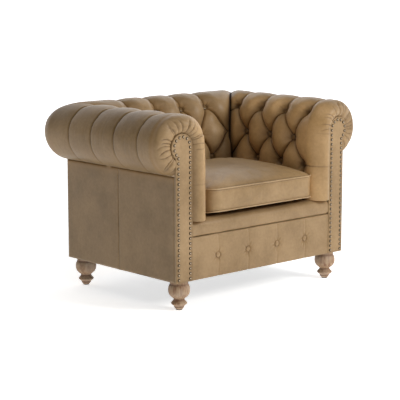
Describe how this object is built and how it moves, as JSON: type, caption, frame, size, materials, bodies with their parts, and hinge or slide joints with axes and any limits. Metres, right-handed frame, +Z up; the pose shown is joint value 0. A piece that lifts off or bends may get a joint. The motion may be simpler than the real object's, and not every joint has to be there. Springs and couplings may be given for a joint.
{
  "type": "upholstered armchair",
  "caption": "Deep-buttoned leather club armchair with rolled arms and back, nailed scroll facings, a buttoned front border, a loose zipped seat cushion and turned wooden feet.",
  "frame": {"origin": "on the floor, under the middle of the overall box", "axes": "+Z up; the front of the chair faces -Y; the sitter's left is +X"},
  "size_m": [1.07, 0.748, 0.735],
  "materials": {
    "leather": "tan semi-aniline hide with a soft waxed sheen and light mottling",
    "cushion_leather": "the same tan hide on the loose cushion, a little more worn on top",
    "nail_bronze": "antiqued dark bronze domed nail heads with bright rubbed tops",
    "foot_wood": "turned hardwood, limed and rubbed, reddish brown under a pale weathered wash",
    "frame_timber": "planed beech, unfinished",
    "padding": "upholstery foam and hair under wadding",
    "steel": "zinc-plated steel hardware and springs",
    "zip_metal": "dull brass zip",
    "glide_plastic": "dark moulded glide",
    "underlining": "black spunbonded dust cloth",
    "hessian": "plain jute hessian",
    "webbing": "woven jute webbing"
  },
  "bodies": {
    "chair_body": {"front_rail": "frame_timber", "rear_rail": "frame_timber", "back_top_rail": "frame_timber", "back_tacking_rail": "frame_timber", "back_liner_rail": "frame_timber", "back_uprights": "frame_timber", "corner_blocks": "frame_timber", "side_rail_left": "frame_timber", "side_rail_right": "frame_timber", "rear_post_left": "frame_timber", "rear_post_right": "frame_timber", "arm_front_board_left": "frame_timber", "arm_front_board_right": "frame_timber", "arm_top_rail_left": "frame_timber", "arm_top_rail_right": "frame_timber", "arm_tacking_rail_left": "frame_timber", "arm_tacking_rail_right": "frame_timber", "arm_liner_rail_left": "frame_timber", "arm_liner_rail_right": "frame_timber", "foot_front_left": "foot_wood", "foot_front_right": "foot_wood", "foot_rear_left": "foot_wood", "foot_rear_right": "foot_wood", "arm_foam_left": "padding", "arm_foam_right": "padding", "back_foam": "padding", "seat_platform": "padding", "inside_arm_cover_left": "leather", "inside_arm_cover_right": "leather", "inside_back_cover": "leather", "outside_back_panel": "leather", "front_border": "leather", "front_lip": "leather", "outside_arm_front_panel_left": "leather", "outside_arm_front_panel_right": "leather", "outside_arm_rear_panel_left": "leather", "outside_arm_rear_panel_right": "leather", "facing_left": "leather", "facing_right": "leather", "upholstery_buttons": "leather", "block_screws": "steel", "hanger_bolts": "steel", "tee_nuts": "steel", "spring_clips": "steel", "seat_springs": "steel", "facing_nails": "nail_bronze", "glides": "glide_plastic", "dust_cover": "underlining", "seat_hessian": "hessian", "arm_webbing": "webbing", "back_webbing": "webbing"},
    "seat_cushion": {"cushion_core": "padding", "cushion_top_panel": "cushion_leather", "cushion_bottom_panel": "cushion_leather", "cushion_boxing": "cushion_leather", "cushion_zip_panel": "cushion_leather", "cushion_piping": "cushion_leather", "zip_chain": "zip_metal"},
    "zip_slider": {"zip_slider": "zip_metal"}
  },
  "joints": [
    {"name": "cushion_lift", "type": "slide", "parent": "chair_body", "child": "seat_cushion", "axis": [0, 0, 1], "range_m": [0, 0.42]},
    {"name": "zip_travel", "type": "slide", "parent": "seat_cushion", "child": "zip_slider", "axis": [-1, 0, 0], "range_m": [0, 0.455]}
  ]
}
